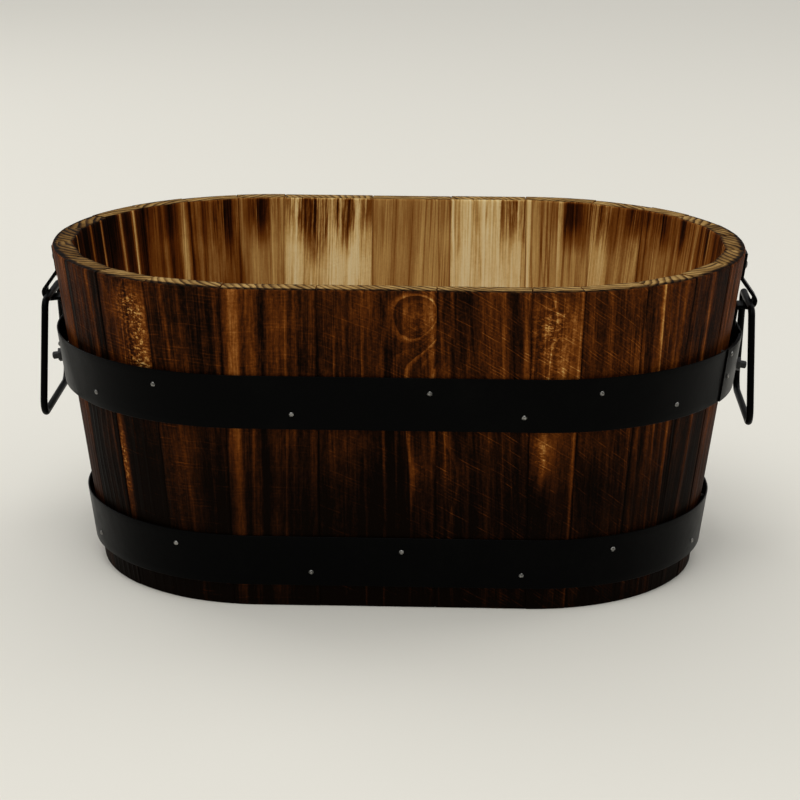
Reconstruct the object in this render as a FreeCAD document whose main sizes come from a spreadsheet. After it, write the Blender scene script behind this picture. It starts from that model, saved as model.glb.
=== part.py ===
import FreeCAD, Part
import math
import os
import Sketcher

# An oval coopered planter: tapered fir staves round a boarded base, two nailed steel hoops,
# and at each end a bent strap whose eye carries a drop handle.
# Origin at the middle of the foot, +X along the tub, -Y to the front, +Z up, millimetres.

os.makedirs("parts", exist_ok=True)
doc = FreeCAD.newDocument("oval_planter")
V = FreeCAD.Vector

SIZES = {
    # tub
    "rim_length": 450,
    "rim_width": 280,
    "tub_height": 213,
    "base_inset": 28,
    "stave_thickness": 13,
    "rim_ease": 2,
    # boarded base, held in a groove round the inside of the staves
    "base_thickness": 12,
    "base_rise": 12,
    "croze_depth": 5,
    "base_play": 0.5,
    "drain_diameter": 12,
    "drain_spacing": 90,
    # hoops
    "hoop_thickness": 1.2,
    "hoop_gap": 0.2,
    "hoop_slack": 2.2,
    "upper_hoop_width": 35,
    "upper_hoop_drop": 56,
    "lower_hoop_width": 34,
    "lower_hoop_foot": 15,
    # hoop nails
    "nail_head_diameter": 4.2,
    "nail_head_height": 1.1,
    "nail_diameter": 1.8,
    "nail_length": 11,
    "nail_stagger": 7.5,
    "lap_nail_pitch": 15,
    "lap_nail_rise": 5.5,
    # handle straps, measured along the slope of the wall
    "strap_width": 14,
    "strap_thickness": 2.2,
    "strap_bend": 2.6,
    "seat_gap": 0.1,
    "eye_rise": 19.5,
    "eye_reach": 8.2,
    "eye_play": 1.1,
    "eye_throat": 14,
    "strap_tail": 17,
    "strap_foot_rise": 3,
    # drop handles
    "rod_diameter": 4.6,
    "bail_gap": 0.3,
    "bail_height": 72,
    "bail_top_width": 52,
    "bail_bottom_width": 92,
    "bail_top_bend": 6,
    "bail_bottom_bend": 9,
    # handle bolts with washer and nut, and the screw in the top of each strap
    "bolt_diameter": 5,
    "bolt_head_diameter": 12,
    "bolt_head_height": 3,
    "bolt_tail": 4,
    "bolt_rise": 10.5,
    "bolt_play": 0.25,
    "washer_diameter": 11,
    "washer_thickness": 1,
    "nut_width": 8,
    "nut_height": 4,
    "nut_play": 0.05,
    "screw_diameter": 3.5,
    "screw_head_diameter": 7,
    "screw_head_height": 1.5,
    "screw_length": 13,
    # every cutting tool runs past what it cuts by this much
    "overrun": 4,
}

sheet = doc.addObject("Spreadsheet::Sheet", "Sizes")
for row, (alias, number) in enumerate(SIZES.items(), start=1):
    sheet.set(f"A{row}", alias)
    sheet.set(f"B{row}", str(number))
    sheet.setAlias(f"B{row}", alias)
doc.recompute()

# Places round the tub: (share of the flat side's half length along the spine, bearing in degrees).
# A bearing counts from +X towards +Y; the front is at 270.
# The stave that carries a handle reaches this many degrees to each side of the end's middle.
END_BEARING = 9
STAVE_JOINT_SHARES = (
    (1, -77), (1, -60), (1, -44), (1, -27), (1, -END_BEARING), (1, END_BEARING),
    (1, 23), (1, 37), (1, 51), (1, 69),
    (1, 90), (0.38, 90), (-0.27, 90), (-1, 90),
    (-1, 104.5), (-1, 121), (-1, 138), (-1, 154.5), (-1, 180 - END_BEARING), (-1, 180 + END_BEARING),
    (-1, 209), (-1, 226), (-1, 242.5), (-1, 263),
    (-0.52, 270), (0.33, 270), (1, 270),
)
UPPER_NAIL_SHARES = (
    (1, -73), (1, -48.5), (1, 16), (1, 30), (1, 44), (1, 60), (0.9, 90), (0.45, 90), (-0.2, 90),
    (-0.7, 90), (-1, 97), (-1, 113), (-1, 130), (-1, 147), (-1, 193), (-1, 222.5), (-1, 245),
    (-0.67, 270), (0.27, 270), (0.91, 270),
)
LOWER_NAIL_SHARES = (
    (1, -64), (1, -24), (1, 0), (1, 16), (1, 44), (1, 60), (0.9, 90), (0.45, 90), (-0.2, 90),
    (-0.7, 90), (-1, 97), (-1, 130), (-1, 163), (-1, 206), (-1, 246), (-0.57, 270), (0.08, 270),
    (0.94, 270),
)
# Each hoop's ends lap over this stretch of the right end, from and to these bearings.
UPPER_LAP_BEARINGS = (-26, -6)
LOWER_LAP_BEARINGS = (22, 42)
LAP_NAIL_SHARE = 0.15
# A nail, screw or bolt head is upright for part of its height, then slopes in to a flat top.
HEAD_EDGE_SHARE = 0.33
HEAD_TOP_SHARE = 0.5
# A bolt's end is turned down by this share of its radius.
BOLT_END_SHARE = 0.25
BOARD_COUNT = 3
DRAIN_COUNT = 3


def size(expression):
    """The number that an expression of the sheet's sizes comes to."""
    return float(sheet.evalExpression(expression))


FLAT_HALF = "((Sizes.rim_length - Sizes.rim_width) / 2)"
SLOPE = "(Sizes.base_inset / Sizes.tub_height)"
LEAN = f"cos(atan({SLOPE}))"
# The upper hoop's top edge is a drop below the rim, and the lower hoop stands on a foot of its own.
HOOP_FOOT = {
    "upper": "(Sizes.tub_height - Sizes.upper_hoop_drop - Sizes.upper_hoop_width)",
    "lower": "Sizes.lower_hoop_foot",
}
# A hoop is slack at the ends; the upper one also goes round the handle straps there.
STRAP_SKIN = "(Sizes.strap_thickness + 2 * Sizes.seat_gap)"
HOOP_FLAT_HALF = {
    "upper": f"({FLAT_HALF} + Sizes.hoop_slack + {STRAP_SKIN} / {LEAN})",
    "lower": f"({FLAT_HALF} + Sizes.hoop_slack)",
}


def wall_radius(level):
    """Outer radius of the tub's round ends at a level above the floor."""
    return f"(Sizes.rim_width / 2 - Sizes.base_inset + {SLOPE} * ({level}))"


def fix(item, **expressions):
    """Bind an object's properties to expressions of the sheet."""
    for name, expression in expressions.items():
        item.setExpression(name, expression)


def new_body(name):
    body = doc.addObject("PartDesign::Body", name)
    body.Label = name
    return body


def new_sketch(body, name, role, level="0"):
    """A sketch on one of the body's own origin planes, raised to a level."""
    plane = next(item for item in body.Origin.OriginFeatures if item.Role == role)
    sketch = body.newObject("Sketcher::SketchObject", name)
    sketch.AttachmentSupport = (plane, [""])
    sketch.MapMode = "FlatFace"
    sketch.setExpression("AttachmentOffset.Base.z", level)
    return sketch


def dimension(sketch, kind, places, expression):
    """A driving constraint held to an expression of the sheet."""
    index = sketch.addConstraint(Sketcher.Constraint(kind, *places, size(expression)))
    sketch.setExpression(f"Constraints[{index}]", expression)


def stadium(body, name, level, flat_half, radius):
    """An oval outline: two straight sides with a half circle at each end."""
    sketch = new_sketch(body, name, "XY_Plane", level)
    flat = size(flat_half)
    bend = size(radius)
    up = V(0, 0, 1)
    right = Part.Circle(V(flat, 0, 0), up, bend)
    left = Part.Circle(V(-flat, 0, 0), up, bend)
    quarter = math.pi / 2
    sketch.addGeometry([
        Part.LineSegment(V(-flat, -bend, 0), V(flat, -bend, 0)),
        Part.ArcOfCircle(right, -quarter, quarter),
        Part.LineSegment(V(flat, bend, 0), V(-flat, bend, 0)),
        Part.ArcOfCircle(left, quarter, 3 * quarter),
    ])
    for edge in range(4):
        sketch.addConstraint(Sketcher.Constraint("Tangent", edge, 2, (edge + 1) % 4, 1))
    sketch.addConstraint(Sketcher.Constraint("PointOnObject", 1, 3, -1))
    sketch.addConstraint(Sketcher.Constraint("PointOnObject", 3, 3, -1))
    sketch.addConstraint(Sketcher.Constraint("Equal", 1, 3))
    dimension(sketch, "Radius", (1,), radius)
    dimension(sketch, "DistanceX", (-1, 1, 1, 3), flat_half)
    dimension(sketch, "DistanceX", (3, 3, -1, 1), flat_half)
    return sketch


def polygon(body, name, role, corners, level="0"):
    """A closed outline through corners given as pairs of expressions."""
    sketch = new_sketch(body, name, role, level)
    points = [V(size(across), size(along), 0) for across, along in corners]
    count = len(points)
    for index in range(count):
        sketch.addGeometry(Part.LineSegment(points[index], points[(index + 1) % count]))
    for index in range(count):
        sketch.addConstraint(Sketcher.Constraint("Coincident", index, 2, (index + 1) % count, 1))
    for index, (across, along) in enumerate(corners):
        dimension(sketch, "DistanceX", (-1, 1, index, 1), across)
        dimension(sketch, "DistanceY", (-1, 1, index, 1), along)
    return sketch


def loft(body, kind, lowest, *others):
    """A solid, or a cut, with straight sides from each outline to the next one up."""
    feature = body.newObject(f"PartDesign::{kind}", f"{lowest.Name}_{kind}")
    feature.Profile = lowest
    feature.Sections = list(others)
    feature.Ruled = True
    doc.recompute()
    return feature


def boolean(kind, name, base, tool):
    item = doc.addObject(f"Part::{kind}", name)
    item.Base = base
    item.Tool = tool
    item.Label = name
    return item


def revolved(name, corners):
    """A turned piece: its half profile, radius against height, spun about Z."""
    body = new_body(name)
    profile = polygon(body, f"{name}_profile", "XZ_Plane", corners)
    turn = body.newObject("PartDesign::Revolution", f"{name}_turn")
    turn.Profile = profile
    turn.ReferenceAxis = (profile, ["V_Axis"])
    turn.Angle = 360
    doc.recompute()
    return body


def sector(name, first, second):
    """An upright wedge that takes in the wall between two places round the tub."""
    (first_share, first_bearing), (second_share, second_bearing) = first, second
    if first_share == second_share:
        bearing = (first_bearing + second_bearing) / 2
        origin_share = first_share
    else:
        bearing = 90 if 90 in (first_bearing, second_bearing) else 270
        on_flat = first_bearing == second_bearing
        origin_share = 0 if on_flat else round((first_share + second_share) / 2)
    near = "(Sizes.rim_width / 2 - Sizes.base_inset) / 2"
    far = "(Sizes.rim_width / 2 + Sizes.overrun)"
    top = "Sizes.tub_height + Sizes.overrun"

    def side(share, joint_bearing, reach):
        along = (share - origin_share) * math.sin(math.radians(bearing))
        return f"{along} * {FLAT_HALF} - {reach} * tan({joint_bearing - bearing})"

    wedge = doc.addObject("Part::Wedge", name)
    fix(wedge, Ymin=near, Ymax=far)
    fix(wedge, Xmin=side(*second, near), Xmax=side(*first, near))
    fix(wedge, X2min=side(*second, far), X2max=side(*first, far))
    fix(wedge, Zmin="-Sizes.overrun", Z2min="-Sizes.overrun", Zmax=top, Z2max=top)
    wedge.Placement = FreeCAD.Placement(V(0, 0, 0), FreeCAD.Rotation(V(0, 0, 1), bearing - 90))
    wedge.setExpression("Placement.Base.x", f"{origin_share} * {FLAT_HALF}")
    return wedge


def spot(share, bearing, level, stand_off, flat_half):
    """Placement on the wall, with Z pointing straight out of its sloping face."""
    turn = math.radians(bearing)
    outward = V(math.cos(turn), math.sin(turn), 0)
    place = V(share * size(flat_half), 0, level) + outward * (size(wall_radius(level)) + stand_off)
    return FreeCAD.Placement(place, FreeCAD.Rotation(V(0, 0, 1), outward - V(0, 0, size(SLOPE))))


def group(name, pattern, placements):
    """Separate copies of one piece, kept together as one node."""
    copies = []
    for placement in placements:
        copy = pattern.Shape.copy()
        copy.Placement = placement.multiply(copy.Placement)
        copies.append(copy)
    item = doc.addObject("Part::Feature", name)
    item.Shape = Part.makeCompound(copies)
    item.Label = name
    return item


# The wall, made as one piece and then split into staves.
BASE_RADIUS = f"({wall_radius('Sizes.base_rise')} - Sizes.stave_thickness + Sizes.croze_depth)"
wall = new_body("wall_stock")
EASED_LEVEL = "(Sizes.tub_height - Sizes.rim_ease)"
EASED_RADIUS = f"({wall_radius('Sizes.tub_height')} - Sizes.rim_ease)"
foot = stadium(wall, "foot_outline", "0", FLAT_HALF, wall_radius("0"))
shoulder = stadium(wall, "shoulder_outline", EASED_LEVEL, FLAT_HALF, wall_radius(EASED_LEVEL))
rim = stadium(wall, "rim_outline", "Sizes.tub_height", FLAT_HALF, EASED_RADIUS)
loft(wall, "AdditiveLoft", foot, shoulder, rim)


def hollow_corners(level):
    inner = f"({wall_radius(level)} - Sizes.stave_thickness)"
    return [(f"{share} * {FLAT_HALF} + {inner} * cos({bearing})", f"{inner} * sin({bearing})")
            for share, bearing in STAVE_JOINT_SHARES]


hollow_foot = polygon(wall, "hollow_foot", "XY_Plane", hollow_corners("0"))
hollow_rim = polygon(wall, "hollow_rim", "XY_Plane", hollow_corners("Sizes.tub_height"),
                     "Sizes.tub_height")
loft(wall, "SubtractiveLoft", hollow_foot, hollow_rim)
croze = wall.newObject("PartDesign::Pocket", "croze")
croze.Profile = stadium(wall, "croze_outline", "Sizes.base_rise", FLAT_HALF, BASE_RADIUS)
croze.Reversed = True
fix(croze, Length="Sizes.base_thickness")

# The base, one oval panel split lengthwise into boards, with drain holes along its middle.
panel = new_body("base_stock")
panel_radius = f"({BASE_RADIUS} - Sizes.base_play)"
slab = panel.newObject("PartDesign::Pad", "base_pad")
slab.Profile = stadium(panel, "base_outline", "Sizes.base_rise", FLAT_HALF, panel_radius)
fix(slab, Length="Sizes.base_thickness")
doc.recompute()
drains = new_sketch(panel, "drain_circles", "XY_Plane", "Sizes.base_rise")
for index in range(DRAIN_COUNT):
    step = f"{index - (DRAIN_COUNT - 1) / 2} * Sizes.drain_spacing"
    circle = Part.Circle(V(size(step), 0, 0), V(0, 0, 1), size("Sizes.drain_diameter / 2"))
    drains.addGeometry(circle)
    drains.addConstraint(Sketcher.Constraint("PointOnObject", index, 3, -1))
    dimension(drains, "Radius", (index,), "Sizes.drain_diameter / 2")
    dimension(drains, "DistanceX", (-1, 1, index, 3), step)
drill = panel.newObject("PartDesign::Pocket", "drain_holes")
drill.Profile = drains
drill.Reversed = True
fix(drill, Length="Sizes.base_thickness")
doc.recompute()

nodes = []
for index in range(BOARD_COUNT):
    strip = doc.addObject("Part::Box", f"board_strip_{index + 1}")
    board_width = f"2 * {panel_radius} / {BOARD_COUNT}"
    half_length = f"({FLAT_HALF} + {panel_radius})"
    fix(strip, Length=f"2 * {half_length}", Width=board_width, Height="Sizes.base_thickness")
    strip.setExpression("Placement.Base.x", f"-{half_length}")
    strip.setExpression("Placement.Base.y", f"{index} * {board_width} - {panel_radius}")
    strip.setExpression("Placement.Base.z", "Sizes.base_rise")
    nodes.append(boolean("Common", f"base_board_{index + 1}", panel, strip))



def pointed(kind):
    """A nail or a screw along Z, pointing down, with the underside of its head at 0."""
    shank = f"Sizes.{kind}_diameter / 2"
    head = f"Sizes.{kind}_head_diameter / 2"
    height = f"Sizes.{kind}_head_height"
    return revolved(kind, [
        ("0", f"-Sizes.{kind}_length"),
        (shank, f"Sizes.{kind}_diameter - Sizes.{kind}_length"),
        (shank, "0"),
        (head, "0"),
        (head, f"{height} * {HEAD_EDGE_SHARE}"),
        (f"{head} * {HEAD_TOP_SHARE}", height),
        ("0", height),
    ])


nail = pointed("nail")
screw = pointed("screw")

# Hoops: a strip that follows the slope of the wall, with a lapped and nailed end.


def ring(name, which, layer):
    """A closed strip round the tub, one thickness deep; layer counts thicknesses under it."""
    body = new_body(name)
    foot_level = HOOP_FOOT[which]
    top_level = f"({foot_level} + Sizes.{which}_hoop_width)"
    inside = f"Sizes.hoop_gap + {layer} * Sizes.hoop_thickness"
    for kind, depth in (("AdditiveLoft", f"{inside} + Sizes.hoop_thickness"),
                        ("SubtractiveLoft", inside)):
        low, high = [
            stadium(body, f"{name}_{kind}_{end}", level, HOOP_FLAT_HALF[which],
                    f"{wall_radius(level)} + {depth}")
            for end, level in (("foot", foot_level), ("top", top_level))
        ]
        loft(body, kind, low, high)
    return body


def nail_places(which, shares, lap):
    """High and low in turn along the middle of the hoop, and one above the other on the lap."""
    middle = size(f"{HOOP_FOOT[which]} + Sizes.{which}_hoop_width / 2")
    stagger = size("Sizes.nail_stagger")
    face = size("Sizes.hoop_gap + Sizes.hoop_thickness")
    along = [(share, bearing, middle + stagger * (-1) ** index, face)
             for index, (share, bearing) in enumerate(shares)]
    lap_bearing = lap[0] + (lap[1] - lap[0]) * LAP_NAIL_SHARE
    lap_middle = middle + size("Sizes.lap_nail_rise")
    half_pitch = size("Sizes.lap_nail_pitch / 2")
    lap_face = face + size("Sizes.hoop_thickness")
    along += [(1, lap_bearing, lap_middle + rise, lap_face) for rise in (half_pitch, -half_pitch)]
    return [spot(*place, HOOP_FLAT_HALF[which]) for place in along]


hoops = {}
for which, nail_shares, lap in (("upper", UPPER_NAIL_SHARES, UPPER_LAP_BEARINGS),
                                ("lower", LOWER_NAIL_SHARES, LOWER_LAP_BEARINGS)):
    strip = ring(f"{which}_strip", which, 0)
    cover = ring(f"{which}_cover", which, 1)
    stretch = sector(f"{which}_lap_stretch", (1, lap[0]), (1, lap[1]))
    tail = boolean("Common", f"{which}_lap", cover, stretch)
    closed = boolean("Fuse", f"{which}_band", strip, tail)
    closed.Refine = True
    nails = group(f"{which}_hoop_nails", nail, nail_places(which, nail_shares, lap))
    hoops[which] = (closed, nails)
doc.recompute()

# End hardware, laid out along the slope of the wall at each end: out from the wall and up it.
HOOP_STAND_OFF = f"({HOOP_FLAT_HALF['upper']} - {FLAT_HALF} + Sizes.hoop_gap + Sizes.hoop_thickness)"
HOOP_FACE = f"({HOOP_STAND_OFF} * {LEAN})"
HOOP_TOP = f"((Sizes.tub_height - Sizes.upper_hoop_drop) / {LEAN})"
STRAP_FOOT = f"(({HOOP_FOOT['upper']} + Sizes.strap_foot_rise) / {LEAN})"
BOLT_LEVEL = f"({HOOP_FOOT['upper']} + Sizes.bolt_rise)"
BOLT_UP = f"({BOLT_LEVEL} / {LEAN})"
ON_WALL = "(Sizes.seat_gap + Sizes.strap_thickness / 2)"
STRAP_FACE = "(Sizes.seat_gap + Sizes.strap_thickness)"
EYE_UP = f"({HOOP_TOP} + Sizes.eye_rise)"
EYE_RADIUS = "((Sizes.rod_diameter + Sizes.strap_thickness) / 2 + Sizes.eye_play)"
ROD_UP = f"({EYE_UP} - Sizes.eye_play + Sizes.bail_gap)"
STRAP_TOP = f"({EYE_UP} + Sizes.eye_throat + Sizes.strap_tail)"
SCREW_UP = f"({STRAP_TOP} - Sizes.strap_tail / 2)"
END_RADIUS = wall_radius(BOLT_LEVEL)
INNER_FLAT = f"(({END_RADIUS} - Sizes.stave_thickness) * cos({END_BEARING}))"
WALL_DEPTH = f"(({END_RADIUS} - {INNER_FLAT}) * {LEAN})"
BOLT_SEAT = f"({WALL_DEPTH} + Sizes.seat_gap)"
WASHER_SEAT = f"({HOOP_FACE} + Sizes.seat_gap)"
NUT_SEAT = f"({WASHER_SEAT} + Sizes.washer_thickness)"
BOLT_LENGTH = f"({BOLT_SEAT} + {NUT_SEAT} + Sizes.nut_height + Sizes.bolt_tail)"
OUTWARD = FreeCAD.Rotation(V(0, 1, 0), 90)
SIDES = {"left": -1, "right": 1}


def at_end(side, out="0", up="0", turn=FreeCAD.Rotation()):
    """Placement on an end wall: X straight out of its face, Z up its slope."""
    slope_angle = math.degrees(math.atan(size(SLOPE)))
    foot_place = V(size(f"{FLAT_HALF} + {wall_radius('0')}"), 0, 0)
    frame = FreeCAD.Placement(foot_place, FreeCAD.Rotation(V(0, 1, 0), slope_angle))
    half_turn = FreeCAD.Rotation(V(0, 0, 1), 0 if side > 0 else 180)
    place = FreeCAD.Placement(V(size(out), 0, size(up)), turn)
    return FreeCAD.Placement(V(0, 0, 0), half_turn).multiply(frame).multiply(place)


def bent_path(corners, closed=False):
    """A wire of straight runs joined by tangent bends, from corners and their bend radii."""
    count = len(corners)
    starts = []
    ends = []
    bends = []
    for index, (corner, bend) in enumerate(corners):
        if bend == 0:
            starts.append(corner)
            ends.append(corner)
            bends.append([])
            continue
        before = (corners[index - 1][0] - corner).normalize()
        after = (corners[(index + 1) % count][0] - corner).normalize()
        half_angle = before.getAngle(after) / 2
        back = bend / math.tan(half_angle)
        middle = corner + (before + after).normalize() * (bend / math.sin(half_angle) - bend)
        starts.append(corner + before * back)
        ends.append(corner + after * back)
        bends.append([Part.Arc(starts[-1], middle, ends[-1]).toShape()])
    edges = []
    for index in range(count if closed else count - 1):
        edges += bends[index]
        edges.append(Part.makeLine(ends[index], starts[(index + 1) % count]))
    return Part.Wire(edges)


def swept(name, path, section):
    """A solid drawn by a closed section along a path."""
    spine = doc.addObject("Part::Feature", f"{name}_path")
    spine.Shape = path
    outline = doc.addObject("Part::Feature", f"{name}_section")
    outline.Shape = section
    sweep = doc.addObject("Part::Sweep", name)
    sweep.Sections = [outline]
    sweep.Spine = (spine, [f"Edge{index + 1}" for index in range(len(path.Edges))])
    sweep.Solid = True
    return sweep


def strap_path():
    """Middle line of the strap: down the wall, out round the eye, back and down behind the hoop."""
    bend = size("Sizes.strap_bend")
    throat = V(size(ON_WALL), 0, size(f"{EYE_UP} + Sizes.eye_throat"))
    reach = V(size("Sizes.eye_reach"), 0, size(EYE_UP)) - throat
    swing = math.atan2(reach.z, reach.x) + math.asin(size(EYE_RADIUS) / reach.Length)
    under = size(f"{EYE_UP} - {EYE_RADIUS}")
    turn = V(throat.x + (under - throat.z) / math.tan(swing), 0, under)
    return bent_path([
        (V(size(ON_WALL), 0, size(STRAP_TOP)), 0),
        (throat, bend),
        (turn, size(EYE_RADIUS)),
        (V(size(ON_WALL), 0, under), bend),
        (V(size(ON_WALL), 0, size(STRAP_FOOT)), 0),
    ])


def cutter(name, diameter, start, length):
    """A round cutter that lies along Z, from a start."""
    rod = doc.addObject("Part::Cylinder", name)
    fix(rod, Radius=f"({diameter}) / 2", Height=length)
    rod.setExpression("Placement.Base.z", start)
    return rod


# Strap, cut for its bolt and its screw, in the frame of an end wall.
half_depth = size("Sizes.strap_thickness / 2")
half_width = size("Sizes.strap_width / 2")
strap_section = Part.makePolygon([
    V(size(ON_WALL) + across * half_depth, along * half_width, size(STRAP_TOP))
    for across, along in ((-1, -1), (1, -1), (1, 1), (-1, 1), (-1, -1))
])
strap_strip = swept("strap_strip", strap_path(), strap_section)
bolt_bore = "Sizes.bolt_diameter + 2 * Sizes.bolt_play"
screw_bore = "Sizes.screw_diameter + 2 * Sizes.bolt_play"
doc.recompute()
strap_bore = cutter("strap_bore", bolt_bore, "0", f"{STRAP_FACE} + Sizes.overrun")
strap_drill = cutter("strap_drill", screw_bore, "0", f"{STRAP_FACE} + Sizes.overrun")
wall_bore = cutter("wall_bore", bolt_bore, f"-{WALL_DEPTH} - Sizes.overrun",
                   f"{WALL_DEPTH} + {HOOP_FACE} + 2 * Sizes.overrun")
doc.recompute()


def laid(item, up):
    """A copy of a piece turned from Z to point out of the wall, at a height up its slope."""
    copy = item.Shape.copy()
    copy.Placement = FreeCAD.Placement(V(0, 0, size(up)), OUTWARD).multiply(copy.Placement)
    return copy


strap_holes = doc.addObject("Part::Feature", "strap_holes")
strap_holes.Shape = Part.makeCompound([laid(strap_bore, BOLT_UP), laid(strap_drill, SCREW_UP)])
strap = boolean("Cut", "strap", strap_strip, strap_holes)

# Drop handle, hanging from the middle of its top bar.
half_top = size("Sizes.bail_top_width / 2")
half_bottom = size("Sizes.bail_bottom_width / 2")
drop = size("Sizes.bail_height")
top_bend = size("Sizes.bail_top_bend")
bottom_bend = size("Sizes.bail_bottom_bend")
bail_path = bent_path([
    (V(0, half_top, 0), top_bend),
    (V(0, half_bottom, -drop), bottom_bend),
    (V(0, -half_bottom, -drop), bottom_bend),
    (V(0, -half_top, 0), top_bend),
], closed=True)
first_run = bail_path.OrderedEdges[0]
bail_section = Part.Wire(Part.Circle(
    first_run.valueAt(first_run.FirstParameter),
    first_run.tangentAt(first_run.FirstParameter),
    size("Sizes.rod_diameter / 2"),
).toShape())
bail = swept("bail", bail_path, bail_section)

# Bolt with its head inside the tub, washer and nut outside.
bolt = revolved("bolt", [
    ("0", "-Sizes.bolt_head_height"),
    (f"Sizes.bolt_head_diameter / 2 * {HEAD_TOP_SHARE}", "-Sizes.bolt_head_height"),
    ("Sizes.bolt_head_diameter / 2", f"-Sizes.bolt_head_height * {HEAD_EDGE_SHARE}"),
    ("Sizes.bolt_head_diameter / 2", "0"),
    ("Sizes.bolt_diameter / 2", "0"),
    ("Sizes.bolt_diameter / 2", f"{BOLT_LENGTH} - Sizes.bolt_diameter / 2 * {BOLT_END_SHARE}"),
    (f"Sizes.bolt_diameter / 2 * {1 - BOLT_END_SHARE}", BOLT_LENGTH),
    ("0", BOLT_LENGTH),
])
washer = revolved("washer", [
    ("Sizes.bolt_diameter / 2 + Sizes.bolt_play", "0"),
    ("Sizes.washer_diameter / 2", "0"),
    ("Sizes.washer_diameter / 2", "Sizes.washer_thickness"),
    ("Sizes.bolt_diameter / 2 + Sizes.bolt_play", "Sizes.washer_thickness"),
])
hexagon = doc.addObject("Part::Prism", "nut_hexagon")
hexagon.Polygon = 6
fix(hexagon, Circumradius="Sizes.nut_width / 2 / cos(30)", Height="Sizes.nut_height")
nut_bore = cutter("nut_bore", "Sizes.bolt_diameter + 2 * Sizes.nut_play", "-Sizes.overrun",
                  "Sizes.nut_height + 2 * Sizes.overrun")
nut = boolean("Cut", "nut", hexagon, nut_bore)
doc.recompute()

bolts = group("handle_bolts", bolt, [
    at_end(side, f"-{BOLT_SEAT}", BOLT_UP, OUTWARD) for side in SIDES.values()])
washers = group("handle_washers", washer, [
    at_end(side, WASHER_SEAT, BOLT_UP, OUTWARD) for side in SIDES.values()])
nuts = group("handle_nuts", nut, [
    at_end(side, NUT_SEAT, BOLT_UP, OUTWARD) for side in SIDES.values()])
screws = group("strap_screws", screw, [
    at_end(side, STRAP_FACE, SCREW_UP, OUTWARD) for side in SIDES.values()])
bores = group("bolt_bores", wall_bore, [
    at_end(side, "0", BOLT_UP, OUTWARD) for side in SIDES.values()])
nodes += [bolts, washers, nuts, screws]

pivot = at_end(1, "Sizes.eye_reach", ROD_UP).Base
for side_name, side in SIDES.items():
    nodes.append(group(f"{side_name}_strap", strap, [at_end(side)]))
    hang = FreeCAD.Placement(V(side * pivot.x, 0, pivot.z), FreeCAD.Rotation())
    nodes.append(group(f"{side_name}_bail", bail, [hang]))

# Whatever is driven or bolted through the wall leaves its hole in the hoops and the staves.
holes = doc.addObject("Part::Compound", "holes")
holes.Links = [hoops["upper"][1], hoops["lower"][1], screws, bores]
for which, (band, nails) in hoops.items():
    nodes.append(boolean("Cut", f"{which}_hoop", band, holes))
    nodes.append(nails)

for index, first in enumerate(STAVE_JOINT_SHARES):
    second_share, second_bearing = STAVE_JOINT_SHARES[(index + 1) % len(STAVE_JOINT_SHARES)]
    if second_bearing < first[1]:
        second_bearing += 360
    wedge = sector(f"stave_wedge_{index + 1:02d}", first, (second_share, second_bearing))
    blank = boolean("Common", f"stave_blank_{index + 1:02d}", wall, wedge)
    nodes.append(boolean("Cut", f"stave_{index + 1:02d}", blank, holes))
doc.recompute()

for item in doc.Objects:
    if "Invalid" in item.State or "Error" in item.State:
        raise RuntimeError(f"{item.Label} failed: {item.State}")
for node in nodes:
    if node.Shape.isNull() or not node.Shape.isValid() or not node.Shape.Solids:
        raise RuntimeError(f"{node.Label} has no valid solid")
for node in nodes:
    node.Shape.exportStep(f"parts/{node.Label}.step")
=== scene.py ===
import math
import random

import bmesh
import bpy
import numpy as np
from mathutils import Matrix, Vector
from mathutils.geometry import tessellate_polygon


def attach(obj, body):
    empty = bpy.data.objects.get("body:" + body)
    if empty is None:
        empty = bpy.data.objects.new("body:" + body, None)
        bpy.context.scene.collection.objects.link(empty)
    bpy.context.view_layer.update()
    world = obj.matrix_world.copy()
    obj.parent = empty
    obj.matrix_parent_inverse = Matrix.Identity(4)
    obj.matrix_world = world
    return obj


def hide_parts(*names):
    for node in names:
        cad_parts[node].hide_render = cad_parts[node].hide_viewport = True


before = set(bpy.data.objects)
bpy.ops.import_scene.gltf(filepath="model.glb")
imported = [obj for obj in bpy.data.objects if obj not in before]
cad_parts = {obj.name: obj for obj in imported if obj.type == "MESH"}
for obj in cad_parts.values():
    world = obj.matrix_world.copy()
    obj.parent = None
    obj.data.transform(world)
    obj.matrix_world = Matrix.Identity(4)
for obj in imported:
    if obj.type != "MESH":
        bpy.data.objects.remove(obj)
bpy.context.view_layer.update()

# An oval coopered planter of burnt fir: staves, base boards, nailed black hoops, straps and drop handles.
# Metres, +X along the tub, -Y to the front, +Z up.

# Tub
RIM_LENGTH = 0.450
RIM_WIDTH = 0.280
TUB_HEIGHT = 0.213
BASE_INSET = 0.028
STAVE_THICKNESS = 0.013
FLAT_HALF = (RIM_LENGTH - RIM_WIDTH) / 2
SLOPE = BASE_INSET / TUB_HEIGHT
END_BEARING = 9
STAVE_JOINTS = (
    (1, -77), (1, -60), (1, -44), (1, -27), (1, -END_BEARING), (1, END_BEARING),
    (1, 23), (1, 37), (1, 51), (1, 69),
    (1, 90), (0.38, 90), (-0.27, 90), (-1, 90),
    (-1, 104.5), (-1, 121), (-1, 138), (-1, 154.5), (-1, 180 - END_BEARING), (-1, 180 + END_BEARING),
    (-1, 209), (-1, 226), (-1, 242.5), (-1, 263),
    (-0.52, 270), (0.33, 270), (1, 270),
)

# Base boards, and the groove round the staves that holds them
BASE_RISE = 0.012
BASE_THICKNESS = 0.012
BASE_PLAY = 0.0005
GROOVE_DEPTH = 0.005
BOARD_COUNT = 3
BOARD_EASE = 0.0012
BOARD_EASE_COUNT = 3
BOARD_ARC_COUNT = 48
DRAIN_RADIUS = 0.006
DRAIN_SPACING = 0.090
DRAIN_COUNT = 3
DRAIN_SIDES = 32

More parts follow.
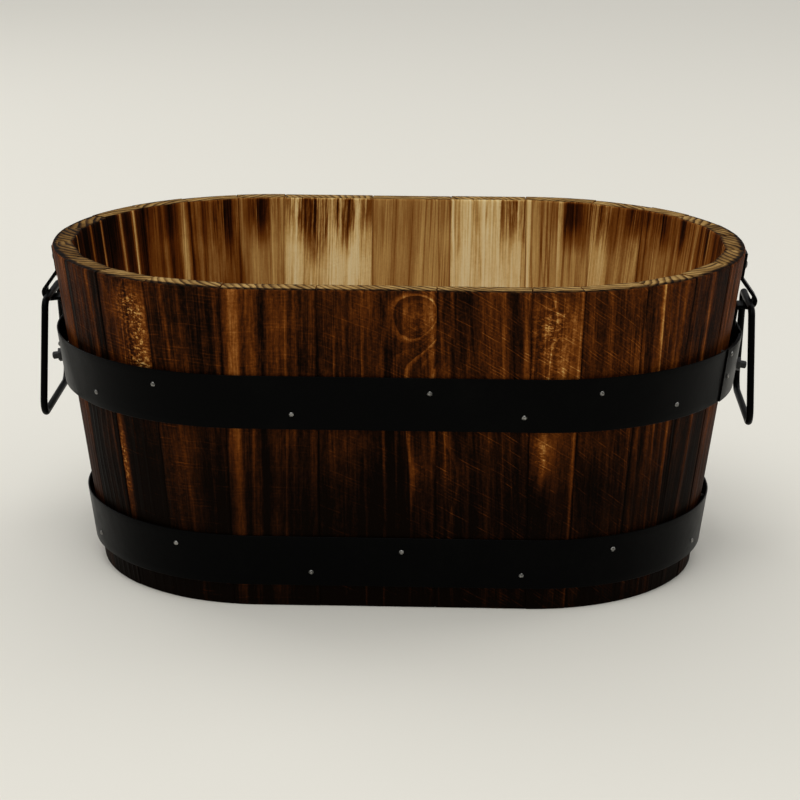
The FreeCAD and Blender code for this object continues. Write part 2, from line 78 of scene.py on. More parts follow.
# Stave edges
RIM_EASE = 0.0020
FOOT_EASE = 0.0008
INNER_EASE = 0.0006
CORNER_EASE = 0.0004
MOST_SUNK = 0.0004
MOST_SHORT = 0.0006
LEVEL_COUNT = 48
FACE_COUNT = 32
SIDE_COUNT = 4
CORNER_COUNT = 3
EASE_COUNT = 4

# Hoops: (foot, width, slack at each end, bearings where the ends lap); the upper one goes over the straps
HOOP_SLACK = 0.0022
STRAP_LIFT = 0.00242
HOOPS = {
    "upper_hoop": (0.122, 0.035, HOOP_SLACK + STRAP_LIFT, (-26, -6)),
    "lower_hoop": (0.015, 0.034, HOOP_SLACK, (22, 42)),
}
HOOP_THICKNESS = 0.0012
HOOP_GAP = 0.0002
HOOP_EDGE = 0.0004
HOOP_RIPPLE = 0.0002
RIPPLE_PITCHES = ((5, 9), (11, 17))
LAP_RUN_OUT = 3
ARC_STEP = 2
FLAT_STEPS = 40
HOOP_FACE_COUNT = 8
HOOP_SIDE_COUNT = 1
HOOP_CORNER_COUNT = 3

# Nails: head radius and height, the head's profile as shares of them, shank radius and length
NAIL_HEAD = (0.0016, 0.0011)
NAIL_CROWN = ((0.00, 1.00), (0.34, 0.96), (0.62, 0.82), (0.84, 0.58), (0.97, 0.28), (1.00, 0.10), (0.96, 0.0))
NAIL_SHANK = (0.0009, 0.0108)
NAIL_SIDES = 16
HAMMER_LOBES = 3
HAMMER_SPREAD = 0.05
MOST_HAMMER_LEAN = 0.22

# Straps, bolts and screws, kept as the frame has them but with eased edges
STRAP_EASE = 0.0004
FASTENER_EASE = 0.0003
EASE_ANGLE = 35
WELD_REACH = 1e-6
FASTENERS = ("handle_bolts", "handle_washers", "handle_nuts", "strap_screws")

# Angles over which an edge is shaded sharp
PLAIN_SHARP = 35
BOARD_SHARP = 20
NAIL_SHARP = 50

# Lots drawn for each stave and board: where the pith lies, the lean and the start of the log
SEED = 11
WAVE_STARTS = (0, 7)
PITH_BEARINGS = (45, 78)
PITH_REACHES = (0.050, 0.120)
LOG_LEANS = (-0.05, 0.05)
LOG_STARTS = (0, 3)
BOARD_PITH_SHARES = (0.2, 0.8)
BOARD_PITH_DEPTHS = (0.03, 0.07)

# Camera, from the photograph: where it looks, how far off, and the angles of its axis
CAMERA_TARGET = Vector((0.00153, 0, 0.10296))
CAMERA_DISTANCE = 1.556
CAMERA_YAW = 2.0
CAMERA_PITCH = 16.70
CAMERA_ROLL = 0.24
CAMERA_LENS = 105.33
SENSOR_WIDTH = 36

# Strength of the room's light at the horizon and overhead, and how bright its walls look
SIDE_LIGHT = 0.16
TOP_LIGHT = 0.97
WALL_BRIGHTNESS = 0.72
# Square lamps: (place, aim, width, power in watts)
LAMPS = {
    "left_window": ((-1.9, 1.5, 1.5), (0, 0, 0.1), 1.4, 14),
    "right_window": ((2.2, 1.0, 1.3), (0, 0, 0.1), 1.2, 10),
    "ceiling_panel": ((-0.3, -1.7, 3.9), (0, 0.3, 0.1), 2.2, 54),
}
FLOOR_HALF = 6.0


def linear(red, green, blue):
    """A colour as seen on screen, 0 to 255, as the light values that a shader takes."""
    def channel(value):
        share = value / 255
        return share / 12.92 if share <= 0.04045 else ((share + 0.055) / 1.055) ** 2.4
    return (channel(red), channel(green), channel(blue), 1.0)


# Finishes

class Value:
    """An output socket; arithmetic on it adds Math nodes to its material."""

    def __init__(self, finish, socket):
        self.finish = finish
        self.socket = socket

    def maths(self, operation, *operands):
        return self.finish.node("ShaderNodeMath", {"operation": operation}, dict(enumerate(operands)))

    def __add__(self, other):
        return self.maths("ADD", self, other)

    def __sub__(self, other):
        return self.maths("SUBTRACT", self, other)

    def __rsub__(self, other):
        return self.maths("SUBTRACT", other, self)

    def __mul__(self, other):
        return self.maths("MULTIPLY", self, other)

    def __truediv__(self, other):
        return self.maths("DIVIDE", self, other)

    def __abs__(self):
        return self.maths("ABSOLUTE", self)

    def __floor__(self):
        return self.maths("FLOOR", self)

    __radd__ = __add__
    __rmul__ = __mul__


class Finish:
    """A material, or the world, whose nodes are added one call at a time."""

    def __init__(self, owner, shader="Principled BSDF"):
        self.owner = owner
        owner.use_nodes = True
        self.tree = owner.node_tree
        self.shader = self.tree.nodes[shader]

    def node(self, kind, settings=None, inputs=None, output=0):
        """A node with its settings made first and its sockets then filled or linked."""
        made = self.tree.nodes.new(kind)
        for name, setting in (settings or {}).items():
            if name == "stops":
                elements = made.color_ramp.elements
                while len(elements) < len(setting):
                    elements.new(1.0)
                for element, (position, colour) in zip(elements, setting):
                    element.position = position
                    element.color = colour
            else:
                setattr(made, name, setting)
        for key, value in (inputs or {}).items():
            self.fill(made.inputs[key], value)
        return Value(self, made.outputs[output])

    def fill(self, socket, value):
        if isinstance(value, Value):
            self.tree.links.new(value.socket, socket)
        else:
            socket.default_value = value

    def attribute(self, name):
        """The three parts of a vector that the mesh carries."""
        return self.parts(self.node("ShaderNodeAttribute", {"attribute_name": name}, output="Vector"))

    def parts(self, vector):
        split = self.node("ShaderNodeSeparateXYZ", inputs={0: vector}).socket.node
        return [Value(self, socket) for socket in split.outputs]

    def joined(self, x, y, z):
        return self.node("ShaderNodeCombineXYZ", inputs={0: x, 1: y, 2: z})

    def length(self, x, y, z):
        vector = self.joined(x, y, z)
        return self.node("ShaderNodeVectorMath", {"operation": "LENGTH"}, {0: vector}, output="Value")

    def levelness(self):
        """How level the surface lies: 0 where it is upright, 1 where it faces straight up or down."""
        return abs(self.parts(self.node("ShaderNodeNewGeometry", output="Normal"))[2])

    def grain(self, vector, scale, detail, rough):
        """Soft noise from 0 to 1 in a vector's space."""
        return self.node("ShaderNodeTexNoise", inputs={
            "Vector": vector, "Scale": scale, "Detail": detail, "Roughness": rough})

    def lot(self, number):
        """A random share from 0 to 1 that belongs to a whole number."""
        return self.node("ShaderNodeTexWhiteNoise", {"noise_dimensions": "1D"}, {"W": number}, output="Value")

    def rings(self, age, early):
        """How far a place is into its year's late wood, from 0 to 1, and the year's lot."""
        year = math.floor(age)
        season = age - year
        late_wood = self.step(season, early, LATE_FULL) * (1 - self.step(season, LATE_END, 1.0))
        return late_wood, self.lot(year)

    def step(self, value, low, high):
        """0 below low, 1 above high and a smooth rise between them."""
        return self.node("ShaderNodeMapRange", {"interpolation_type": "SMOOTHSTEP"}, {
            "Value": value, "From Min": low, "From Max": high})

    def blend(self, factor, first, second):
        """The second number where the factor is 1, the first where it is 0."""
        return first + factor * (second - first)

    def tint(self, factor, first, second):
        """The same for two colours."""
        return self.node("ShaderNodeMix", {"data_type": "RGBA"}, {0: factor, 6: first, 7: second}, output=2)

    def ramp(self, stops, value):
        """The colour of a value along a row of stops."""
        return self.node("ShaderNodeValToRGB", {"stops": stops}, {0: value}, output="Color")

    def relief(self, height, distance, strength):
        return self.node("ShaderNodeBump", inputs={
            "Strength": strength, "Distance": distance, "Height": height})

    def set(self, **sockets):
        for name, value in sockets.items():
            self.fill(self.shader.inputs[name.replace("_", " ")], value)
        return self.owner


def new_finish(name):
    return Finish(bpy.data.materials.new(name))


# How far the fir is burnt sets its colour, from bare wood to char; outside it is a deeper orange.
INNER_STOPS = (
    (0.00, linear(253, 229, 170)),
    (0.13, linear(238, 204, 136)),
    (0.26, linear(206, 162, 92)),
    (0.39, linear(162, 113, 55)),
    (0.52, linear(126, 73, 23)),
    (0.65, linear(94, 45, 8)),
    (0.78, linear(58, 25, 5)),
    (0.90, linear(31, 12, 2)),
    (1.00, linear(11, 4, 1)),
)
OUTER_STOPS = (
    (0.00, linear(236, 196, 122)),
    (0.15, linear(202, 149, 77)),
    (0.30, linear(158, 98, 42)),
    (0.45, linear(121, 65, 19)),
    (0.60, linear(87, 42, 10)),
    (0.75, linear(54, 25, 7)),
    (0.88, linear(29, 13, 4)),
    (1.00, linear(11, 5, 2)),
)
# Cut ends are duller, and darken from grey straw to char.
END_STOPS = (
    (0.00, linear(214, 186, 130)),
    (0.25, linear(172, 138, 82)),
    (0.45, linear(124, 93, 48)),
    (0.65, linear(78, 53, 22)),
    (0.85, linear(38, 23, 9)),
    (1.00, linear(12, 7, 3)),
)
# Where unburnt wood stands among the inner stops; paler wood stands below it.
BARE_PLACE = 0.13
SPLINTER = linear(190, 172, 146)

# Kinds of grain in a log: (stretch along it, scale, detail, roughness)
GRAINS = {
    "wander": (0.08, 38, 3.0, 0.5),
    "fibre": (0.015, 1100, 3.0, 0.65),
    "band": (0.02, 150, 3.0, 0.6),
    "broad": (0.05, 46, 2.0, 0.5),
    "patch": (0.35, 30, 3.0, 0.5),
    "mottle": (1.0, 560, 4.0, 0.65),
    "fleck": (0.13, 600, 4.0, 0.65),
    "blotch": (0.5, 75, 3.0, 0.6),
    "contour": (0.025, 120, 2.0, 0.5),
    "flake": (1.6, 300, 3.0, 0.7),
}
# How far each kind of grain sways the burn, and the edges of marks
OUTER_SWAY = {
    "band": 0.54, "broad": 0.60, "patch": 0.50, "blotch": 0.30, "fibre": 0.26, "fleck": 0.54, "mottle": 0.40,
}
INNER_SWAY = {"band": 0.58, "broad": 0.40, "patch": 0.34, "fibre": 0.46, "fleck": 0.20, "mottle": 0.12}
END_SWAY = {"blotch": 0.45, "broad": 0.40, "mottle": 0.25}
SAW_SWAY = {"wander": 1.6, "blotch": 0.8}
STREAK_SWAY = {"fibre": 0.5, "fleck": 0.3}
SCORCH_SWAY = {"blotch": 0.060, "band": 0.020}
CHAR_SWAY = {"blotch": 0.007, "band": 0.004}

# Growth rings: spacing, wander and the share of a year where its late wood begins, is full and ends
RING_SPACING = 0.0046
RING_WANDER = 0.0130
RING_EARLY = 0.45
END_RING_SPACING = 0.0043
END_RING_WANDER = 0.009
END_RING_EARLY = 0.30
LATE_FULL = 0.84
LATE_END = 0.90

# Saw marks: rows, how they bend, and the scratches they are made of
SAW_PITCH = 0.0022
SAW_BEND = 1.5
SAW_HALF_WIDTH = (0.02, 0.24)
SAW_LOTS = (0.05, 0.95)
SCRATCH_ACROSS = 0.5
SCRATCH_ALONG = 0.004
SCRATCH_GRAIN = (150, 3.0, 0.5)
SCRATCH_RANGE = (0.38, 0.66)

# Edges of marks on the staves, each from where a mark begins to where it is full
THREAD_EDGE = (0.004, 0.030)
THREAD_PATCH = (0.35, 0.60)
FLAKE_EDGE = (0.45, 0.62)
STREAK_EDGE = (0.34, 0.58)
RING_PATCH = (0.22, 0.68)
SCORCH_BAND = (0.30, 0.58)
SCORCH_EDGE = (TUB_HEIGHT - 0.040, TUB_HEIGHT - 0.006)
# the next two span where the painted shade low down and at the foot fades from full to none, going up
LOW_EDGE = (TUB_HEIGHT * 0.30, TUB_HEIGHT * 0.72)
FOOT_EDGE = (0.0, BASE_RISE * 2)
SEAM_EDGE = (0.0003, 0.0016)
INSIDE_EDGE = (STAVE_THICKNESS * 0.35, STAVE_THICKNESS * 0.65)
END_EDGE = (0.55, 0.85)
OUTER_CHAR = (0.0008, 0.0042)
INNER_CHAR = (STAVE_THICKNESS - 0.0022, STAVE_THICKNESS - 0.0004)

# Splinters: stretch and scale of the cells that may hold one, its edge in a cell, and the lots that do
SPLINTER_STRETCH = 0.6
SPLINTER_SCALE = 42
SPLINTER_EDGE = (0.04, 0.07)
SPLINTER_LOTS = (0.85, 0.87)

# How much each mark adds to the burn outside, inside and on the cut ends
# The first two add painted shade: the outside is drawn darker low down and darker still at the foot
LOW_PAINTED_SHADE = 0.21
FOOT_PAINTED_SHADE = 0.08
OUTER_SEAM_BURN = 0.13
OUTER_THREAD_BURN = -0.12
OUTER_RING_BURN = -0.70
INNER_BURN = -0.03
INNER_SEAM_BURN = 0.15
INNER_THREAD_BURN = 0.17
INNER_RING_BURN = -0.55
END_BURN_SHIFT = -0.09
END_RING_BURN = 0.20
END_YEAR_BURN = 0.26
OUTER_CHAR_BURN = 0.50
INNER_CHAR_BURN = 0.22
# How much calmer the grain is in the painted shade low down, how bright a year's ring is at the least and how
# much more by its lot, and how much of a burnt streak stays between its dark lines
LOW_CALM = 0.42
LEAST_RING = 0.06
YEAR_RING = 0.44
LEAST_STREAK = 0.25


def sway(grains, weights):
    """Grains about their middle, each times its weight, added up."""
    return sum((grains[kind] - 0.5) * weight for kind, weight in weights.items())


def saw_marks(fir, grains, log_z):
    """How strong the saw marks are, in slanting rows over part of a stave."""
    across, _, height = fir.attribute("place")
    amount, slope, _ = fir.attribute("saw")
    row = (height + across * slope + across * across * SAW_BEND) / SAW_PITCH + sway(grains, SAW_SWAY)
    number = math.floor(row)
    mark = 1 - fir.step(abs(row - number - 0.5), *SAW_HALF_WIDTH)
    scratch = fir.grain(fir.joined(across * SCRATCH_ACROSS, row * SCRATCH_ALONG, log_z), *SCRATCH_GRAIN)
    strength = fir.step(fir.lot(number), *SAW_LOTS) * fir.step(scratch, *SCRATCH_RANGE)
    return mark * strength * amount * (0.5 + grains["mottle"])


def cut_ends(fir, grains, radius):
    """Colour of the cut ends, with the rings as dark lines and burnt edges."""
    _, depth, _ = fir.attribute("place")
    end_burn, _, _ = fir.attribute("tip")
    age = (radius + (grains["wander"] - 0.5) * END_RING_WANDER) / END_RING_SPACING
    late_wood, year_lot = fir.rings(age, END_RING_EARLY)
    ring_line = late_wood * (END_RING_BURN + year_lot * END_YEAR_BURN) + END_BURN_SHIFT
    outer_char = 1 - fir.step(depth + sway(grains, CHAR_SWAY), *OUTER_CHAR)
    inner_char = fir.step(depth, *INNER_CHAR)
    charred = outer_char * OUTER_CHAR_BURN + inner_char * INNER_CHAR_BURN
    return fir.ramp(END_STOPS, end_burn + ring_line + sway(grains, END_SWAY) + charred)


def splinters(fir, log_x, log_y, log_z):
    """1 on the few bare specks where a splinter has come off."""
    place = fir.joined(log_x, log_y, log_z * SPLINTER_STRETCH)
    cell = fir.node("ShaderNodeTexVoronoi", inputs={"Vector": place, "Scale": SPLINTER_SCALE}).socket.node
    chance = fir.parts(Value(fir, cell.outputs["Color"]))[0]
    away = Value(fir, cell.outputs["Distance"])
    return (1 - fir.step(away, *SPLINTER_EDGE)) * fir.step(chance, *SPLINTER_LOTS)


def burnt_fir():
    """Torched and brushed fir: growth rings, fibre, scorch, saw marks, knots and bare specks, with painted
    shade low down and at the foot outside.
    """
    fir = new_finish("burnt_fir")
    log_x, log_y, log_z = fir.attribute("log")
    _, depth, height = fir.attribute("place")
    # the two burns carry the wood's own tone with painted light and shade in it
    outer_burn_and_painted_light, inner_burn_and_painted_light, scorch = fir.attribute("trait")
    ring_shift, bare, rough = fir.attribute("figure")
    _, _, glow = fir.attribute("saw")
    _, inner_contrast, edge_away = fir.attribute("tip")
    grains = {kind: fir.grain(fir.joined(log_x, log_y, log_z * stretch), scale, detail, roughness)
              for kind, (stretch, scale, detail, roughness) in GRAINS.items()}

    # where the surface faces: into the tub, or up at the rim and down at the foot
    inside = fir.step(depth, *INSIDE_EDGE)
    end_grain = fir.step(fir.levelness(), *END_EDGE)

    # growth rings, some years brighter, and thin threads along the grain
    radius = fir.length(log_x, log_y, 0.0)
    age = (radius + (grains["wander"] - 0.5) * RING_WANDER + ring_shift) / RING_SPACING
    late_wood, year_lot = fir.rings(age, RING_EARLY)
    ring_light = late_wood * (LEAST_RING + year_lot * year_lot * YEAR_RING)
    ring_light = ring_light * fir.step(grains["patch"], *RING_PATCH)
    thread = 1 - fir.step(abs(grains["contour"] - 0.5), *THREAD_EDGE)
    thread = thread * fir.step(grains["patch"], *THREAD_PATCH)

    # knots and streaks are flaky where they are bare and streaky where they are burnt
    flake = fir.step(grains["flake"], *FLAKE_EDGE)
    charred = bare.maths("MINIMUM", bare, 0.0)
    streaky = fir.step(grains["band"] + sway(grains, STREAK_SWAY), *STREAK_EDGE)
    figure_light = ((bare - charred) * (1 - rough * (1 - flake))
                    + charred * (LEAST_STREAK + streaky * (1 - LEAST_STREAK)))

    # outside, painted shade low down and at the foot, and darker along the seams
    sawn = saw_marks(fir, grains, log_z)
    painted_shade_low_down = 1 - fir.step(height, *LOW_EDGE)
    at_foot = 1 - fir.step(height, *FOOT_EDGE)
    seam = 1 - fir.step(edge_away, *SEAM_EDGE)
    outer_figure = (sway(grains, OUTER_SWAY) + ring_light * glow * OUTER_RING_BURN
                    + thread * OUTER_THREAD_BURN)
    outer = (outer_burn_and_painted_light + painted_shade_low_down * LOW_PAINTED_SHADE + at_foot * FOOT_PAINTED_SHADE + outer_figure * (1 - painted_shade_low_down * LOW_CALM)
             + seam * OUTER_SEAM_BURN - sawn - figure_light)

    # inside, scorched under the rim
    scorched = fir.step(height + sway(grains, SCORCH_SWAY), *SCORCH_EDGE) * scorch
    scorched = scorched * fir.step(grains["band"], *SCORCH_BAND)
    inner_figure = sway(grains, INNER_SWAY) + ring_light * INNER_RING_BURN
    inner = (inner_burn_and_painted_light + inner_figure * inner_contrast + thread * INNER_THREAD_BURN + INNER_BURN + scorched
             + seam * INNER_SEAM_BURN - figure_light)

    colour = fir.tint(inside, fir.ramp(OUTER_STOPS, outer),
                      fir.ramp(INNER_STOPS, BARE_PLACE + inner * (1 - BARE_PLACE)))
    colour = fir.tint(end_grain, colour, cut_ends(fir, grains, radius))
    speck = splinters(fir, log_x, log_y, log_z) * (1 - inside) * (1 - end_grain)
    colour = fir.tint(speck, colour, SPLINTER)

    fibre = grains["fibre"]
    brushed = late_wood * 0.45 + fibre * 0.45 + sawn * 0.6 + grains["mottle"] * 0.15 + flake * rough * 0.6
    return fir.set(
        Base_Color=colour,
        Roughness=0.58 + (fibre - 0.5) * 0.25 - late_wood * 0.06,
        Specular_IOR_Level=0.015,
        Normal=fir.relief(brushed, 0.0010, 0.6),
    )


# Kinds of grain in a base board: (stretch along it, scale, detail, roughness)
BOARD_GRAINS = {
    "wander": (0.10, 26, 3.0, 0.5),
    "fibre": (0.03, 700, 3.0, 0.6),
    "patch": (0.4, 20, 3.0, 0.5),
}
BOARD_SWAY = {"fibre": 0.40, "patch": 0.50}
# Rings and burn of the base boards
BOARD_RING_SPACING = 0.0058
BOARD_RING_WANDER = 0.030
BOARD_RING_EARLY = 0.35
BOARD_RING_BURN = 0.06
BOARD_YEAR_BURN = 0.16
BOARD_BURN = 0.36
BOARD_EDGE_BURN = 0.45
BOARD_EDGE = (0.60, 0.97)


def sawn_fir():
    """Plain sawn fir of the base boards, grain along X, with darker edges."""
    fir = new_finish("sawn_fir")
    x, y, z = fir.attribute("log")
    grains = {kind: fir.grain(fir.joined(x * stretch, y, z), scale, detail, roughness)
              for kind, (stretch, scale, detail, roughness) in BOARD_GRAINS.items()}
    age = fir.length(0.0, y, z) + (grains["wander"] - 0.5) * BOARD_RING_WANDER
    late_wood, year_lot = fir.rings(age / BOARD_RING_SPACING, BOARD_RING_EARLY)
    ring_line = late_wood * (BOARD_RING_BURN + year_lot * BOARD_YEAR_BURN)
    edge = 1 - fir.step(fir.levelness(), *BOARD_EDGE)
    burn = BOARD_BURN + ring_line + sway(grains, BOARD_SWAY) + edge * BOARD_EDGE_BURN
    fibre = grains["fibre"]
    return fir.set(
        Base_Color=fir.ramp(INNER_STOPS, BARE_PLACE + burn * (1 - BARE_PLACE)),
        Roughness=0.72 + (fibre - 0.5) * 0.2,
        Specular_IOR_Level=0.1,
        Normal=fir.relief(late_wood * 0.4 + fibre * 0.6, 0.0008, 0.5),
    )


# Colours of the metal, each from its dark places to its light ones
PAINT = (linear(2, 2, 2), linear(6, 6, 5))
NAIL_HEADS = (linear(70, 69, 66), linear(158, 156, 151))
DARK_COAT = (linear(16, 16, 16), linear(44, 43, 41))
# Unevenness of the metal: (scale, detail, roughness), and where a patch begins and is full
PAINT_CLOUD = (55, 4.0, 0.6)
PAINT_PITS = (1400, 2.0, 0.5)
PAINT_DUST = (18, 5.0, 0.7)
DUST_EDGE = (0.45, 0.80)
NAIL_BLOTCH = (900, 3.0, 0.6)
NAIL_EDGE = (0.35, 0.7)
COAT_BLOTCH = (500, 3.0, 0.6)
COAT_EDGE = (0.3, 0.75)


def black_steel():
    """Thin black paint on mild steel, a little uneven and dusty."""
    steel = new_finish("black_steel")
    place = steel.node("ShaderNodeTexCoord", output="Object")
    cloud = steel.grain(place, *PAINT_CLOUD)
    pits = steel.grain(place, *PAINT_PITS)
    dust = steel.step(steel.grain(place, *PAINT_DUST), *DUST_EDGE)
    return steel.set(
        Base_Color=steel.tint(dust, *PAINT),
        Roughness=0.33 + (cloud - 0.5) * 0.22 + dust * 0.10,
        Specular_IOR_Level=0.03,
        Normal=steel.relief(pits * 0.25 + cloud, 0.0006, 0.35),
    )


def nail_steel():
    """Bare nail heads, dulled and a little scratched by the hammer."""
    steel = new_finish("nail_steel")
    place = steel.node("ShaderNodeTexCoord", output="Object")
    blotch = steel.grain(place, *NAIL_BLOTCH)
    return steel.set(
        Base_Color=steel.tint(steel.step(blotch, *NAIL_EDGE), *NAIL_HEADS),
        Metallic=0.75,
        Roughness=0.38 + (blotch - 0.5) * 0.3,
        Normal=steel.relief(blotch, 0.0003, 0.5),
    )


def dark_fastener():
    """Dark coated bolts, nuts, washers and screws."""
    steel = new_finish("dark_fastener")
    place = steel.node("ShaderNodeTexCoord", output="Object")
    blotch = steel.grain(place, *COAT_BLOTCH)
    return steel.set(
        Base_Color=steel.tint(steel.step(blotch, *COAT_EDGE), *DARK_COAT),
        Metallic=0.4,
        Roughness=0.40 + (blotch - 0.5) * 0.25,
        Normal=steel.relief(blotch, 0.0003, 0.3),
    )


# Meshes

def wall_radius(level):
    """Outer radius of the tub's round ends at a level above the floor."""
    return RIM_WIDTH / 2 - BASE_INSET + SLOPE * level


def new_piece(name, points, faces, finish, body, stands_for, sharp=PLAIN_SHARP):
    """A piece from points and faces, with its faces turned outwards and its edges shaded by their angle."""
    mesh = bpy.data.meshes.new(name)
    mesh.from_pydata([tuple(point) for point in points], [], faces)
    shell = bmesh.new()
    shell.from_mesh(mesh)
    bmesh.ops.recalc_face_normals(shell, faces=shell.faces)
    shell.to_mesh(mesh)
    shell.free()
    mesh.materials.append(finish)
    piece = bpy.data.objects.new(name, mesh)
    bpy.context.scene.collection.objects.link(piece)
    mesh.shade_smooth()
    mesh.set_sharp_from_angle(angle=math.radians(sharp))
    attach(piece, body)
    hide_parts(stands_for)
    return piece


def set_vectors(piece, name, rows):
    layer = piece.data.attributes.new(name, "FLOAT_VECTOR", "POINT")
    layer.data.foreach_set("vector", np.asarray(rows, np.float32).ravel())


def ring_faces(ring_count, size):
    """Quads between rings of points, and a cap on each end."""
    faces = []
    for ring in range(ring_count - 1):
        low = ring * size
        high = low + size
        for index in range(size):
            step = (index + 1) % size
            faces.append((low + index, low + step, high + step, high + index))
    faces.append(tuple(reversed(range(size))))
    faces.append(tuple(range((ring_count - 1) * size, ring_count * size)))
    return faces


def rounded_section(width, thickness, ease, face_count, side_count, corner_count):
    """A rectangle with eased corners, as (across, depth) pairs in order round it."""
    section = []
    corners = (((ease, ease), 180), ((width - ease, ease), 270),
               ((width - ease, thickness - ease), 0), ((ease, thickness - ease), 90))
    runs = (face_count, side_count, face_count, side_count)
    for index, (((across, depth), start), run) in enumerate(zip(corners, runs)):
        for step in range(corner_count + 1):
            turn = math.radians(start + 90 * step / corner_count)
            section.append((across + ease * math.cos(turn), depth + ease * math.sin(turn)))
        following = corners[(index + 1) % 4]
        leave = section[-1]
        turn = math.radians(following[1])
        arrive = (following[0][0] + ease * math.cos(turn), following[0][1] + ease * math.sin(turn))
        for step in range(1, run):
            share = step / run
            section.append((leave[0] + (arrive[0] - leave[0]) * share,
                            leave[1] + (arrive[1] - leave[1]) * share))
    return np.array(section)


def wall_point(first, second, share, level, sunk):
    """A place on the wall between two joints, a share of the way along it and sunk below its face."""
    radius = wall_radius(level)
    turn = math.radians(second[1] - first[1]) * radius
    run = abs(second[0] - first[0]) * FLAT_HALF
    walked = share * (turn + run)
    bearing = math.radians(first[1]) + min(walked, turn) / radius
    along = first[0] * FLAT_HALF
    if run:
        along += (second[0] - first[0]) * FLAT_HALF * max(0.0, walked - turn) / run
    reach = radius - sunk
    return np.array((along + reach * math.cos(bearing), reach * math.sin(bearing), level))


# What each stave looks like: (burn outside, burn inside, scorch under the rim, saw marks, their slope, glow)
# Both burns also hold painted light and shade: paler outside at the round ends, paler inside along the back
# and darker inside at the left end.
STAVE_LOOKS = {
    1: (0.79, 0.36, 0.2, 0.26, 0.8, 0.9),
    2: (0.79, 0.38, 0.2, 0.14, 0.7, 1.2),
    3: (0.79, 0.40, 0.2, 0.05, 0.4, 1.2),
    4: (0.70, 0.42, 0.2, 0.05, 0.2, 1.0),
    5: (0.60, 0.50, 0.3, 0.05, 0.2, 1.0),
    6: (0.60, 0.54, 0.1, 0.05, 0.2, 1.0),
    7: (0.76, 0.40, 0.1, 0.10, 0.2, 1.0),
    8: (0.74, 0.38, 0.1, 0.10, 0.4, 1.0),
    9: (0.76, 0.29, 0.1, 0.10, 0.4, 1.0),
    10: (0.76, 0.24, 0.05, 0.10, 0.5, 1.0),
    11: (0.74, 0.00, 0.05, 0.20, 0.5, 1.0),
    12: (0.78, 0.23, 0.05, 0.20, 0.5, 1.0),
    13: (0.76, 0.04, 0.05, 0.20, 0.3, 1.0),
    14: (0.74, 0.28, 0.05, 0.10, 0.2, 1.0),
    15: (0.74, 0.45, 0.1, 0.05, 0.2, 1.0),
    16: (0.74, 0.66, 0.2, 0.05, 0.2, 1.0),
    17: (0.74, 0.84, 0.1, 0.05, 0.2, 1.0),
    18: (0.58, 0.88, 0.1, 0.05, 0.2, 1.0),
    19: (0.52, 0.80, 0.1, 0.05, 0.2, 1.0),
    20: (0.60, 0.62, 0.2, 0.05, 0.2, 0.3),
    21: (0.88, 0.50, 0.2, 0.14, 0.1, 0.3),
    22: (0.90, 0.46, 0.2, 0.18, 0.1, 0.5),
    23: (0.80, 0.44, 0.2, 0.20, 0.0, 0.5),
    24: (0.78, 0.38, 0.2, 0.10, 0.0, 1.1),
    25: (0.81, 0.36, 0.2, 0.16, 0.45, 1.3),
    26: (0.83, 0.36, 0.2, 0.30, 0.60, 0.9),
    27: (0.77, 0.36, 0.2, 0.26, 0.65, 0.7),
}
# How far the cut ends are burnt, at the rim and the foot: the left end of the tub most
END_BURN = {
    3: 0.46, 4: 0.56, 5: 0.60, 6: 0.56,
    16: 0.46, 17: 0.52, 18: 0.58, 19: 0.62, 20: 0.62, 21: 0.56, 22: 0.46,
}
PLAIN_END_BURN = 0.42
# How strongly the grain shows inside, where that is not 1
INNER_CONTRAST = {9: 1.1, 10: 0.75, 11: 1.25, 12: 0.6, 13: 1.2, 14: 0.7}
# Knots and rough patches outside:
# (share across, height, half width, half height, ring shift, bareness, roughness)
STAVE_FIGURES = {
    21: ((0.50, 0.090, 0.016, 0.040, 0.004, 0.12, 0.3),),
    22: ((0.62, 0.197, 0.012, 0.013, 0.006, 0.60, 0.6), (0.78, 0.176, 0.012, 0.020, 0.008, 0.58, 0.6),
         (0.70, 0.154, 0.014, 0.013, 0.005, 0.60, 0.6), (0.07, 0.085, 0.004, 0.034, 0.004, 0.86, 0.5)),
    23: ((0.25, 0.082, 0.010, 0.036, 0.004, 0.24, 0.4), (0.14, 0.092, 0.004, 0.004, 0.018, -0.10, 0.0)),
    25: ((0.90, 0.199, 0.016, 0.017, 0.024, 0.28, 0.3), (0.84, 0.180, 0.013, 0.012, 0.006, 0.10, 0.6),
         (0.86, 0.092, 0.006, 0.018, 0.002, 0.28, 0.5)),
    26: ((0.20, 0.090, 0.010, 0.020, 0.004, 0.12, 0.5),),
    27: ((0.42, 0.196, 0.014, 0.013, 0.003, 0.42, 0.55), (0.38, 0.172, 0.015, 0.022, 0.002, 0.38, 0.55),
         (0.26, 0.106, 0.006, 0.016, 0.003, 0.62, 0.5)),
}
# Scorched spots inside, under the rim: (share across, half width, how far down, strength)
STAVE_SCORCHES = {
    6: ((0.70, 0.004, 0.024, 0.30),),
    7: ((0.65, 0.005, 0.030, 0.40),),
    8: ((0.35, 0.006, 0.030, 0.44), (0.80, 0.004, 0.018, 0.26)),
    9: ((0.14, 0.006, 0.026, 0.40), (0.80, 0.008, 0.034, 0.50)),
    10: ((0.28, 0.010, 0.036, 0.50),),
    11: ((0.15, 0.010, 0.036, 0.46),),
    13: ((0.84, 0.007, 0.034, 0.50), (0.64, 0.008, 0.052, 0.66), (0.44, 0.007, 0.040, 0.56),
         (0.24, 0.009, 0.046, 0.64), (0.06, 0.005, 0.024, 0.30)),
    14: ((0.52, 0.009, 0.036, 0.58),),
    15: ((0.37, 0.008, 0.044, 0.42),),
}
SCORCH_RIM = 0.0015
SCORCH_FADE = 0.6
